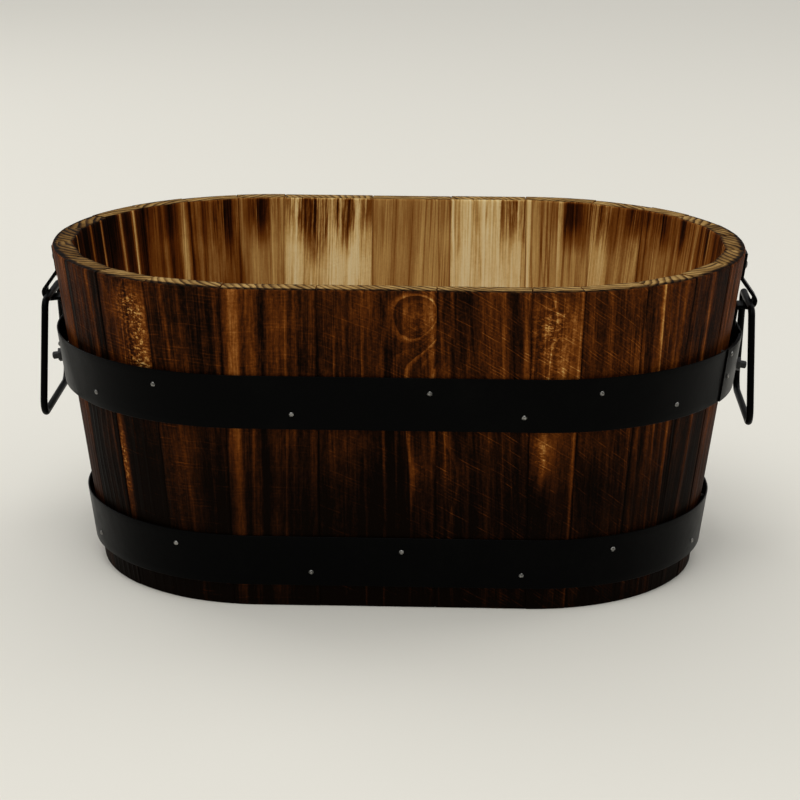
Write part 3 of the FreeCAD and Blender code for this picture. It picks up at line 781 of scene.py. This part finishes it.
# Bright and dark streaks along a stave, outside and inside:
# (share across at the foot and at the rim, half width, strength)
OUTER_STREAKS = {
    2: ((0.30, 0.34, 0.0020, 0.20), (0.80, 0.82, 0.0015, 0.22)),
    3: ((0.45, 0.50, 0.0022, 0.24),),
    21: ((0.95, 0.72, 0.0014, 0.26),),
    23: ((0.52, 0.22, 0.0012, 0.22),),
    24: ((0.12, 0.12, 0.0034, 0.34), (0.21, 0.22, 0.0018, -0.20), (0.31, 0.32, 0.0026, 0.18),
         (0.41, 0.43, 0.0020, -0.22), (0.53, 0.54, 0.0026, 0.18), (0.78, 0.78, 0.0080, -0.10)),
    25: ((0.21, 0.20, 0.0010, 0.16), (0.42, 0.43, 0.0010, 0.18), (0.96, 0.96, 0.0008, 0.24)),
    26: ((0.04, 0.16, 0.0010, 0.24), (0.34, 0.36, 0.0010, 0.18), (0.56, 0.56, 0.0012, 0.18),
         (0.72, 0.71, 0.0010, 0.16), (0.95, 0.94, 0.0012, 0.22)),
    27: ((0.96, 0.97, 0.0009, 0.30), (0.02, 0.02, 0.0007, 0.20)),
}
INNER_STREAKS = {
    10: ((0.93, 0.94, 0.0024, 0.30),),
    16: ((0.10, 0.14, 0.0038, 0.56), (0.60, 0.58, 0.0016, 0.26)),
    17: ((0.30, 0.28, 0.0016, 0.56), (0.62, 0.64, 0.0014, 0.50)),
    18: ((0.25, 0.25, 0.0016, 0.56), (0.70, 0.68, 0.0018, 0.48)),
    19: ((0.50, 0.52, 0.0016, 0.42),),
}
# Share of an outer streak's strength that is left at the foot
STREAK_AT_FOOT = 0.5
# Where the pith of a stave's log lies from its middle, as (across, depth); others are drawn by lot.
STAVE_PITHS = {11: (0.090, 0.05), 13: (0.100, 0.05), 23: (0.070, 0.06), 24: (0.110, 0.06), 25: (0.060, 0.06)}


def stave_rings(top):
    """Levels up a stave, with the ease of its outer edge and its other edges and the groove's depth there."""
    rings = []
    for step in range(EASE_COUNT):
        turn = math.radians(90 * step / EASE_COUNT)
        eased = FOOT_EASE * (1 - math.sin(turn))
        rings.append((FOOT_EASE * (1 - math.cos(turn)), eased, eased, 0.0))
    base_top = BASE_RISE + BASE_THICKNESS
    levels = np.linspace(FOOT_EASE, top - RIM_EASE, LEVEL_COUNT)
    rings += [(level, 0.0, 0.0, 0.0) for level in levels if level < BASE_RISE]
    rings += [(BASE_RISE, 0.0, 0.0, 0.0), (BASE_RISE, 0.0, 0.0, GROOVE_DEPTH),
              (base_top, 0.0, 0.0, GROOVE_DEPTH - SLOPE * BASE_THICKNESS), (base_top, 0.0, 0.0, 0.0)]
    rings += [(level, 0.0, 0.0, 0.0) for level in levels if level > base_top]
    for step in range(1, EASE_COUNT + 1):
        turn = math.radians(90 * step / EASE_COUNT)
        eased = 1 - math.cos(turn)
        rings.append((top - RIM_EASE * (1 - math.sin(turn)), RIM_EASE * eased, INNER_EASE * eased, 0.0))
    return rings


def stave_figure(number, places, width):
    """Ring shift, bareness and roughness at each place on a stave, from its knots, streaks and scorches."""
    figure = np.zeros((len(places), 3))
    shares = places[:, 0] / width + 0.5
    rise = places[:, 2] / TUB_HEIGHT
    outer = places[:, 1] < STAVE_THICKNESS / 2
    for share, height, half_width, half_height, shift, bare, rough in STAVE_FIGURES.get(number, ()):
        away_x = (shares - share) * width / half_width
        away_z = (places[:, 2] - height) / half_height
        weight = np.exp(-(away_x ** 2 + away_z ** 2)) * outer
        figure += weight[:, None] * np.array((shift, bare, rough))
    fading = outer * (STREAK_AT_FOOT + (1 - STREAK_AT_FOOT) * rise)
    for streaks, side in ((OUTER_STREAKS, fading), (INNER_STREAKS, ~outer)):
        for at_foot, at_rim, half_width, strength in streaks.get(number, ()):
            middle = at_foot + (at_rim - at_foot) * rise
            figure[:, 1] += np.exp(-((shares - middle) * width / half_width) ** 2) * side * strength
    below_rim = TUB_HEIGHT - places[:, 2]
    for share, half_width, reach, strength in STAVE_SCORCHES.get(number, ()):
        weight = np.exp(-((shares - share) * width / half_width) ** 2) * ~outer
        weight *= np.clip(below_rim / SCORCH_RIM, 0, 1)
        weight *= np.clip((reach - below_rim) / (reach * SCORCH_FADE), 0, 1)
        figure[:, 1] -= weight * strength
    return figure


def stave_wall(first, second, width, sunk, section, rings):
    """Points of a stave between two joints, and each one's place across, into and up it."""
    points = []
    places = []
    for level, outer_in, inner_in, groove in rings:
        near = wall_point(first, second, 0, level, STAVE_THICKNESS)
        far = wall_point(first, second, 1, level, STAVE_THICKNESS)
        thickness = STAVE_THICKNESS - sunk - outer_in - inner_in - groove
        for across, depth in section:
            share = (inner_in + across / width * (width - 2 * inner_in)) / width
            deep = sunk + outer_in + depth / STAVE_THICKNESS * thickness
            outside = wall_point(first, second, share, level, 0)
            inside = near + (far - near) * share
            points.append(outside + (inside - outside) * deep / STAVE_THICKNESS)
            places.append(((share - 0.5) * width, deep, level))
    return points, np.array(places)


def mark_stave(piece, number, places, width, log):
    """Gives a stave the vectors that its finish reads."""
    outer_burn_and_painted_light, inner_burn_and_painted_light, scorch, saw, slope, glow = STAVE_LOOKS[number]
    ones = np.ones((len(places), 1))
    tips = ones * (END_BURN.get(number, PLAIN_END_BURN), INNER_CONTRAST.get(number, 1.0), 0)
    tips[:, 2] = width / 2 - np.abs(places[:, 0])
    set_vectors(piece, "log", log)
    set_vectors(piece, "place", places)
    set_vectors(piece, "trait", ones * (outer_burn_and_painted_light, inner_burn_and_painted_light, scorch))
    set_vectors(piece, "saw", ones * (saw, slope, glow))
    set_vectors(piece, "figure", stave_figure(number, places, width))
    set_vectors(piece, "tip", tips)


def make_stave(index, finish, lots):
    """One stave: flat inside, round outside, eased edges, a little sunk and short of its neighbours."""
    first = STAVE_JOINTS[index]
    second = STAVE_JOINTS[(index + 1) % len(STAVE_JOINTS)]
    if second[1] < first[1]:
        second = (second[0], second[1] + 360)
    number = index + 1
    sunk = lots.uniform(0, MOST_SUNK)
    short = lots.uniform(0, MOST_SHORT)
    pith_side = lots.choice((-1, 1))
    pith_bearing = math.radians(lots.uniform(*PITH_BEARINGS))
    pith_reach = lots.uniform(*PITH_REACHES)
    lean = lots.uniform(*LOG_LEANS)
    log_start = lots.uniform(*LOG_STARTS)
    width = (math.radians(second[1] - first[1]) * wall_radius(TUB_HEIGHT / 2)
             + abs(second[0] - first[0]) * FLAT_HALF)
    section = rounded_section(width, STAVE_THICKNESS, CORNER_EASE, FACE_COUNT, SIDE_COUNT, CORNER_COUNT)
    rings = stave_rings(TUB_HEIGHT - short)
    points, places = stave_wall(first, second, width, sunk, section, rings)

    name = f"stave_{number:02d}"
    faces = ring_faces(len(rings), len(section))
    piece = new_piece(f"{name}_wood", points, faces, finish, "tub", name)
    drawn_pith = (pith_side * pith_reach * math.cos(pith_bearing), pith_reach * math.sin(pith_bearing))
    pith = STAVE_PITHS.get(number, drawn_pith)
    log = places.copy()
    log[:, 0] -= pith[0] + lean * places[:, 2]
    log[:, 1] -= pith[1]
    log[:, 2] += log_start
    mark_stave(piece, number, places, width, log)


def board_outline(low, high, radius):
    """Plan of an oval of a radius between two cuts along it."""
    first, last = (math.asin(max(-1.0, min(1.0, cut / radius))) for cut in (low, high))
    right = [(FLAT_HALF + radius * math.cos(turn), radius * math.sin(turn))
             for turn in np.linspace(first, last, BOARD_ARC_COUNT)]
    return right + [(-x, y) for x, y in reversed(right)]


def make_board(index, finish, lots):
    """One board of the base, with eased edges and, in the middle one, the drain holes."""
    radius = wall_radius(BASE_RISE) - STAVE_THICKNESS + GROOVE_DEPTH - BASE_PLAY
    width = 2 * radius / BOARD_COUNT
    low = index * width - radius
    drains = []
    if index == BOARD_COUNT // 2:
        drains = [(step - (DRAIN_COUNT - 1) / 2) * DRAIN_SPACING for step in range(DRAIN_COUNT)]
    turns = [math.radians(90 * step / BOARD_EASE_COUNT) for step in range(BOARD_EASE_COUNT + 1)]
    eases = [(BOARD_EASE * (1 - math.cos(turn)), BOARD_EASE * (1 - math.sin(turn))) for turn in turns]
    rings = [(BASE_RISE + rise, inset) for rise, inset in eases]
    rings += [(BASE_RISE + BASE_THICKNESS - rise, inset) for rise, inset in reversed(eases)]

    drain_turns = [2 * math.pi * side / DRAIN_SIDES for side in range(DRAIN_SIDES)]
    points = []
    caps = []
    for level, inset in rings:
        loops = [board_outline(low + inset, low + width - inset, radius - inset)]
        for middle in drains:
            reach = DRAIN_RADIUS + inset
            loops.append([(middle + reach * math.cos(turn), reach * math.sin(turn)) for turn in drain_turns])
        loops = [[Vector((x, y, level)) for x, y in loop] for loop in loops]
        caps.append([tuple(len(points) + corner for corner in triangle)
                     for triangle in tessellate_polygon(loops)])
        points += [point for loop in loops for point in loop]
    ring_size = len(points) // len(rings)
    faces = caps[0] + caps[-1]
    start = 0
    for count in (2 * BOARD_ARC_COUNT, *(DRAIN_SIDES for _ in drains)):
        for ring in range(len(rings) - 1):
            base = ring * ring_size + start
            for side in range(count):
                step = (side + 1) % count
                faces.append((base + side, base + step, base + ring_size + step, base + ring_size + side))
        start += count

    name = f"base_board_{index + 1}"
    piece = new_piece(f"{name}_wood", points, faces, finish, "tub", name, BOARD_SHARP)
    log = np.array([tuple(point) for point in points])
    log += (lots.uniform(*LOG_STARTS), -low - width * lots.uniform(*BOARD_PITH_SHARES),
            lots.uniform(*BOARD_PITH_DEPTHS))
    set_vectors(piece, "log", log)


def hoop_stations(lap):
    """Once round the tub and on under the lap, as (share of the flat side, bearing, layer)."""
    first, last = lap
    stations = [(1, bearing) for bearing in np.arange(first, 90, ARC_STEP)]
    stations += [(share, 90) for share in np.linspace(1, -1, FLAT_STEPS)]
    stations += [(-1, bearing) for bearing in np.arange(90 + ARC_STEP, 270, ARC_STEP)]
    stations += [(share, 270) for share in np.linspace(-1, 1, FLAT_STEPS)]
    stations += [(1, bearing) for bearing in np.arange(270 + ARC_STEP, 360 + last, ARC_STEP)]
    laid = []
    for share, bearing in stations:
        drop = min(1.0, max(0.0, (bearing - last) / LAP_RUN_OUT))
        laid.append((share, bearing, 1 - drop * drop * (3 - 2 * drop) if share == 1 else 0.0))
    return laid


def make_hoop(name, finish, lots):
    """A strip with eased edges that runs once round the tub and laps over its own end."""
    foot, width, slack, lap = HOOPS[name]
    section = rounded_section(width, HOOP_THICKNESS, HOOP_EDGE, HOOP_FACE_COUNT, HOOP_SIDE_COUNT,
                              HOOP_CORNER_COUNT)
    waves = [(lots.uniform(*pitches), lots.uniform(*WAVE_STARTS)) for pitches in RIPPLE_PITCHES]
    stations = hoop_stations(lap)
    points = []
    for share, bearing, layer in stations:
        turn = math.radians(bearing)
        walked = turn + share
        swell = sum(math.sin(pitch * walked + start) for pitch, start in waves) / len(waves)
        lift = HOOP_GAP + layer * HOOP_THICKNESS + HOOP_RIPPLE * (swell + 1) / 2
        for rise, depth in section:
            level = foot + rise
            radius = wall_radius(level) + lift + HOOP_THICKNESS - depth
            along = share * (FLAT_HALF + slack)
            points.append((along + radius * math.cos(turn), radius * math.sin(turn), level))
    faces = ring_faces(len(stations), len(section))
    new_piece(f"{name}_strip", points, faces, finish, "tub", name)


def loose_parts(node):
    """The points of each separate solid in a node."""
    shell = bmesh.new()
    shell.from_mesh(node.data)
    bmesh.ops.remove_doubles(shell, verts=shell.verts, dist=WELD_REACH)
    waiting = set(shell.verts)
    found = []
    for seed in list(shell.verts):
        if seed not in waiting:
            continue
        waiting.discard(seed)
        front = [seed]
        points = []
        while front:
            vertex = front.pop()
            points.append(tuple(vertex.co))
            for edge in vertex.link_edges:
                other = edge.other_vert(vertex)
                if other in waiting:
                    waiting.discard(other)
                    front.append(other)
        found.append(np.array(points))
    shell.free()
    return found


def nail_line(part):
    """Where the underside of a nail's head is in the CAD, and the way that the nail points out."""
    middle = part.mean(axis=0)
    outward = Vector((middle[0] - max(-FLAT_HALF, min(FLAT_HALF, middle[0])), middle[1], 0))
    axis = Vector(np.linalg.eigh(np.cov((part - middle).T))[1][:, -1])
    if axis.dot(outward) < 0:
        axis.negate()
    reach = max(Vector(point - middle).dot(axis) for point in part)
    return Vector(middle) + axis * (reach - NAIL_HEAD[1]), axis


def nail_profile():
    """Half a nail from the top of its head to its point, as (radius, height over the head's underside)."""
    head_radius, head_height = NAIL_HEAD
    shank_radius, shank_length = NAIL_SHANK
    crown = [(radius * head_radius, height * head_height) for radius, height in NAIL_CROWN]
    point_height = 2 * shank_radius
    return crown + [(shank_radius, 0.0), (shank_radius, point_height - shank_length), (0.0, -shank_length)]


def make_nails(name, finish, lots):
    """Hammered round-headed nails where the node has its nails."""
    profile = nail_profile()
    ring_count = len(profile) - 2
    points = []
    faces = []
    for part in loose_parts(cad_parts[name]):
        base, axis = nail_line(part)
        along = axis.cross(Vector((0, 0, 1))).normalized()
        across = axis.cross(along)
        lobes = lots.uniform(*WAVE_STARTS)
        lean_way = lots.uniform(*WAVE_STARTS)
        lean = lots.uniform(0.0, MOST_HAMMER_LEAN)
        start = len(points)
        points.append(base + axis * profile[0][1])
        for radius, height in profile[1:-1]:
            for side in range(NAIL_SIDES):
                turn = 2 * math.pi * side / NAIL_SIDES
                worn = radius
                if height >= 0:
                    worn *= 1 + HAMMER_SPREAD * math.sin(HAMMER_LOBES * turn + lobes)
                tilt = 1 - lean * (1 + math.cos(turn - lean_way)) / 2 if height > 0 else 1
                way = along * math.cos(turn) + across * math.sin(turn)
                points.append(base + axis * height * tilt + way * worn)
        points.append(base + axis * profile[-1][1])
        for side in range(NAIL_SIDES):
            step = (side + 1) % NAIL_SIDES
            faces.append((start, start + 1 + side, start + 1 + step))
            for ring in range(ring_count - 1):
                low = start + 1 + ring * NAIL_SIDES
                faces.append((low + side, low + NAIL_SIDES + side, low + NAIL_SIDES + step, low + step))
            low = start + 1 + (ring_count - 1) * NAIL_SIDES
            faces.append((low + side, len(points) - 1, low + step))
    new_piece(f"{name}_driven", points, faces, finish, "tub", name, NAIL_SHARP)


def coat(node, finish):
    """Gives a node of the frame its finish."""
    node.data.materials.clear()
    node.data.materials.append(finish)


def ease_edges(node, width):
    """Eases a node's sharp edges."""
    joined = node.modifiers.new("joined", "WELD")
    joined.merge_threshold = WELD_REACH
    eased = node.modifiers.new("eased", "BEVEL")
    eased.width = width
    eased.segments = 2
    eased.limit_method = "ANGLE"
    eased.angle_limit = math.radians(EASE_ANGLE)
    shaded = node.modifiers.new("shaded", "WEIGHTED_NORMAL")
    shaded.keep_sharp = False


# Floor, light and camera

def make_floor():
    mesh = bpy.data.meshes.new("floor")
    corners = [(x * FLOOR_HALF, y * FLOOR_HALF, 0) for x, y in ((-1, -1), (1, -1), (1, 1), (-1, 1))]
    mesh.from_pydata(corners, [], [(0, 1, 2, 3)])
    floor = bpy.data.objects.new("floor", mesh)
    bpy.context.scene.collection.objects.link(floor)
    pale = new_finish("pale_floor")
    mesh.materials.append(pale.set(Base_Color=linear(222, 219, 209), Roughness=0.7, Specular_IOR_Level=0.2))


def make_lamp(name, place, aim, width, power):
    data = bpy.data.lights.new(name, "AREA")
    data.shape = "SQUARE"
    data.size = width
    data.energy = power
    lamp = bpy.data.objects.new(name, data)
    lamp.location = place
    lamp.rotation_euler = (Vector(aim) - Vector(place)).to_track_quat("-Z", "Y").to_euler()
    bpy.context.scene.collection.objects.link(lamp)


def make_light():
    """A room that is bright overhead and dim at its sides, two soft windows and a panel over the front."""
    for name, lamp in LAMPS.items():
        make_lamp(name, *lamp)
    room = Finish(bpy.data.worlds.new("room"), "Background")
    upward = room.parts(room.node("ShaderNodeTexCoord", output="Generated"))[2]
    strength = room.node("ShaderNodeMapRange", inputs={
        "Value": upward, "From Min": 0.0, "From Max": 1.0, "To Min": SIDE_LIGHT, "To Max": TOP_LIGHT})
    seen = room.node("ShaderNodeLightPath", output="Is Camera Ray")
    strength = room.blend(seen, strength, WALL_BRIGHTNESS)
    bpy.context.scene.world = room.set(Color=(1.0, 1.0, 1.0, 1.0), Strength=strength)


def make_camera():
    yaw = math.radians(CAMERA_YAW)
    pitch = math.radians(CAMERA_PITCH)
    back = Vector((math.sin(yaw) * math.cos(pitch), -math.cos(yaw) * math.cos(pitch), math.sin(pitch)))
    data = bpy.data.cameras.new("camera")
    data.lens = CAMERA_LENS
    data.sensor_width = SENSOR_WIDTH
    camera = bpy.data.objects.new("camera", data)
    camera.location = CAMERA_TARGET + back * CAMERA_DISTANCE
    aim = (-back).to_track_quat("-Z", "Y").to_matrix().to_4x4()
    camera.matrix_world = (Matrix.Translation(camera.location) @ aim
                           @ Matrix.Rotation(math.radians(CAMERA_ROLL), 4, "Z"))
    bpy.context.scene.collection.objects.link(camera)
    bpy.context.scene.camera = camera


def main():
    lots = random.Random(SEED)
    fir = burnt_fir()
    for index in range(len(STAVE_JOINTS)):
        make_stave(index, fir, lots)
    steel = black_steel()
    bright = nail_steel()
    for name in HOOPS:
        make_hoop(name, steel, lots)
        make_nails(f"{name}_nails", bright, lots)
    boards = sawn_fir()
    for index in range(BOARD_COUNT):
        make_board(index, boards, lots)
    dark = dark_fastener()
    for name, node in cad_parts.items():
        if name.endswith("_bail"):
            coat(node, steel)
        elif name.endswith("_strap"):
            coat(node, steel)
            ease_edges(node, STRAP_EASE)
        elif name in FASTENERS:
            coat(node, dark)
            ease_edges(node, FASTENER_EASE)
    make_floor()
    make_light()
    make_camera()
    bpy.context.scene.view_settings.view_transform = "Standard"


main()
